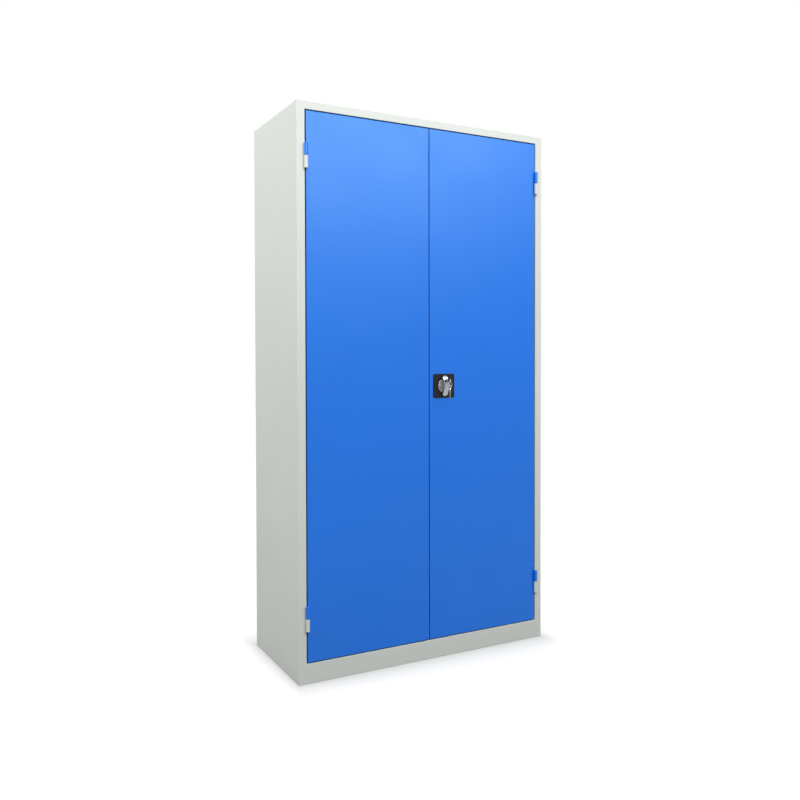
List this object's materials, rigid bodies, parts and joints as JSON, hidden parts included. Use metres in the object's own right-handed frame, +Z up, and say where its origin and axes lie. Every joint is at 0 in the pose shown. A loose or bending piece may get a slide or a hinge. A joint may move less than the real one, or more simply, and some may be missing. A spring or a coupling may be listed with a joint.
{
  "type": "tool cabinet",
  "caption": "Tall steel tool cabinet with two inset hinged doors, adjustable shelves inside and a three-point rod lock worked by a turning knob with a keyed cylinder.",
  "frame": {"origin": "middle of the four floor-anchor holes, at floor level, which is the middle of the carcass's footprint", "axes": "+X to the cabinet's right seen from the front, +Y from the doors to the back panel, +Z up"},
  "size_m": [1, 0.5171, 1.95],
  "materials": {
    "frame_paint": "light grey semi-gloss powder coat",
    "door_paint": "light blue semi-gloss powder coat",
    "zinc_plate": "bright zinc plate",
    "guide_plastic": "moulded nylon",
    "plate_plastic": "black moulded plastic, fine texture",
    "knob_chrome": "satin chrome",
    "cylinder_brass": "turned brass",
    "key_nickel": "nickel plate",
    "buffer_rubber": "black rubber"
  },
  "bodies": {
    "carcass": {"side_panel_left": "frame_paint", "side_panel_right": "frame_paint", "back_panel": "frame_paint", "roof_panel": "frame_paint", "header_rail": "frame_paint", "plinth": "frame_paint", "floor_panel": "frame_paint", "base_plates": "frame_paint", "frame_keepers": "guide_plastic", "door_buffers": "buffer_rubber", "shelf_upright_front_left": "frame_paint", "shelf_upright_front_right": "frame_paint", "shelf_upright_rear_left": "frame_paint", "shelf_upright_rear_right": "frame_paint", "shelf_clips": "zinc_plate", "shelf_1": "zinc_plate", "shelf_2": "zinc_plate", "shelf_3": "zinc_plate", "shelf_4": "zinc_plate", "left_top_frame_knuckle": "frame_paint", "left_bottom_frame_knuckle": "frame_paint", "right_top_frame_knuckle": "frame_paint", "right_bottom_frame_knuckle": "frame_paint", "hinge_pins": "zinc_plate", "hinge_washers": "cylinder_brass"},
    "left_door": {"left_door_skin": "door_paint", "left_door_stiffener": "door_paint", "left_top_door_knuckle": "door_paint", "left_bottom_door_knuckle": "door_paint", "bolt_guides": "guide_plastic", "side_bolt_strike": "zinc_plate"},
    "left_upper_bolt": {"left_upper_bolt": "zinc_plate"},
    "left_lower_bolt": {"left_lower_bolt": "zinc_plate"},
    "right_door": {"right_door_skin": "door_paint", "right_door_stiffener": "door_paint", "right_top_door_knuckle": "door_paint", "right_bottom_door_knuckle": "door_paint", "lock_plate": "plate_plastic", "lock_plate_screws": "zinc_plate", "rod_guides": "guide_plastic", "lock_case": "zinc_plate", "lock_cover": "zinc_plate", "lock_cover_screws": "zinc_plate"},
    "lock_knob": {"knob": "knob_chrome", "lock_barrel": "knob_chrome", "pinion": "zinc_plate", "spindle": "zinc_plate", "spindle_screw": "zinc_plate"},
    "lock_cylinder": {"lock_plug": "cylinder_brass", "lock_cam": "cylinder_brass"},
    "key": {"key": "key_nickel"},
    "key_ring": {"key_ring": "key_nickel"},
    "spare_key": {"spare_key": "key_nickel"},
    "upper_rod": {"upper_rod": "zinc_plate"},
    "lower_rod": {"lower_rod": "zinc_plate"},
    "side_bolt": {"side_bolt": "zinc_plate"}
  },
  "joints": [
    {"name": "left_door_hinge", "type": "hinge", "parent": "carcass", "child": "left_door", "pos_m": [-0.4695, -0.237, 0], "axis": [0, 0, -1], "range_deg": [0, 180]},
    {"name": "right_door_hinge", "type": "hinge", "parent": "carcass", "child": "right_door", "pos_m": [0.4695, -0.237, 0], "axis": [0, 0, 1], "range_deg": [0, 180]},
    {"name": "left_upper_bolt_slide", "type": "slide", "parent": "left_door", "child": "left_upper_bolt", "axis": [0, 0, 1], "range_m": [0, 0.016]},
    {"name": "left_lower_bolt_slide", "type": "slide", "parent": "left_door", "child": "left_lower_bolt", "axis": [0, 0, -1], "range_m": [0, 0.016]},
    {"name": "knob_turn", "type": "hinge", "parent": "right_door", "child": "lock_knob", "pos_m": [0.0595, -0.23, 0.9947], "axis": [0, 1, 0], "range_deg": [0, 90]},
    {"name": "upper_rod_slide", "type": "slide", "parent": "right_door", "child": "upper_rod", "axis": [0, 0, 1], "range_m": [0, 0.0189]},
    {"name": "lower_rod_slide", "type": "slide", "parent": "right_door", "child": "lower_rod", "axis": [0, 0, -1], "range_m": [0, 0.0189]},
    {"name": "side_bolt_slide", "type": "slide", "parent": "right_door", "child": "side_bolt", "axis": [-1, 0, 0], "range_m": [0, 0.0189]},
    {"name": "cylinder_turn", "type": "hinge", "parent": "lock_knob", "child": "lock_cylinder", "pos_m": [0.0595, -0.2501, 1.0117], "axis": [0, -1, 0], "range_deg": [0, 90]},
    {"name": "key_pull", "type": "slide", "parent": "lock_cylinder", "child": "key", "axis": [0, -1, 0], "range_m": [0, 0.02]},
    {"name": "ring_swing", "type": "hinge", "parent": "key", "child": "key_ring", "pos_m": [0.0595, -0.2765, 1.0101], "axis": [0.9781, 0.2079, 0], "range_deg": [-40, 15]},
    {"name": "spare_key_swing", "type": "hinge", "parent": "key_ring", "child": "spare_key", "pos_m": [0.0595, -0.2765, 0.9905], "axis": [0.9781, 0.2079, 0], "range_deg": [-20, 10]}
  ],
  "couplings": [
    {"joint": "upper_rod_slide", "follows": "knob_turn", "m_per_rad": 0.012},
    {"joint": "lower_rod_slide", "follows": "knob_turn", "m_per_rad": 0.012},
    {"joint": "side_bolt_slide", "follows": "knob_turn", "m_per_rad": 0.012}
  ]
}
